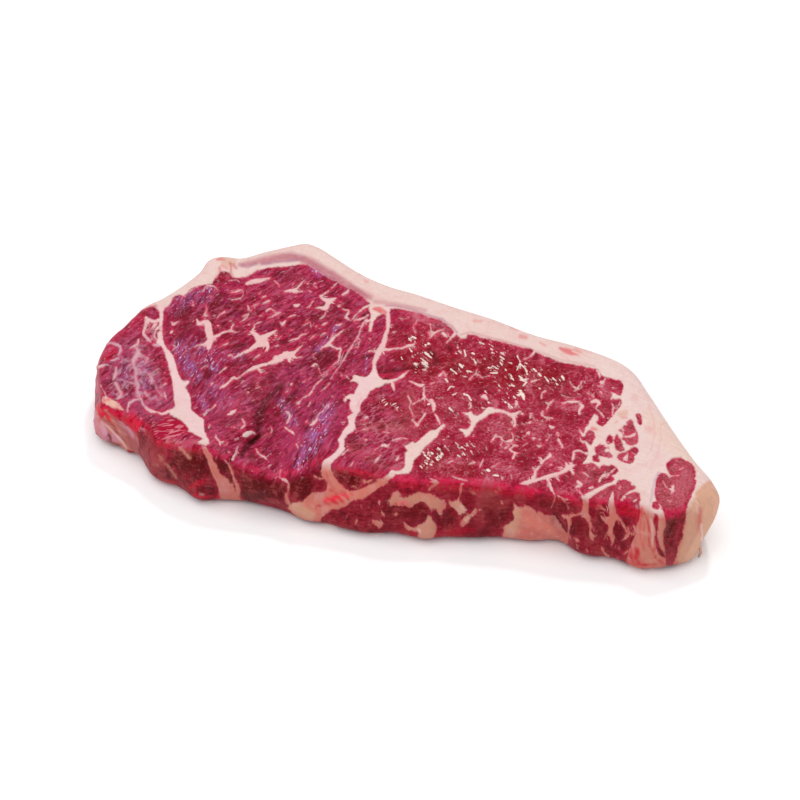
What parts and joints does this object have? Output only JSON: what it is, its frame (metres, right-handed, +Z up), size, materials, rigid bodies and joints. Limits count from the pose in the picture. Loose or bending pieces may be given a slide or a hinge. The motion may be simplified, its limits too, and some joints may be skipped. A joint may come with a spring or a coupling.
{
  "type": "raw sirloin steak",
  "caption": "Thick boneless raw beef steak lying flat, with marbled lean, a fat cap along one long side and a pointed fat tail.",
  "frame": {"origin": "centre of the bounding box, at the flat underside that the steak lies on", "axes": "+X along the steak towards the pointed fat tail, +Y across it towards the fat cap, +Z up through its thickness"},
  "size_m": [0.228, 0.121, 0.0272],
  "materials": {
    "raw_beef": null
  },
  "bodies": {
    "root": {"sirloin_steak": "raw_beef"}
  },
  "joints": []
}
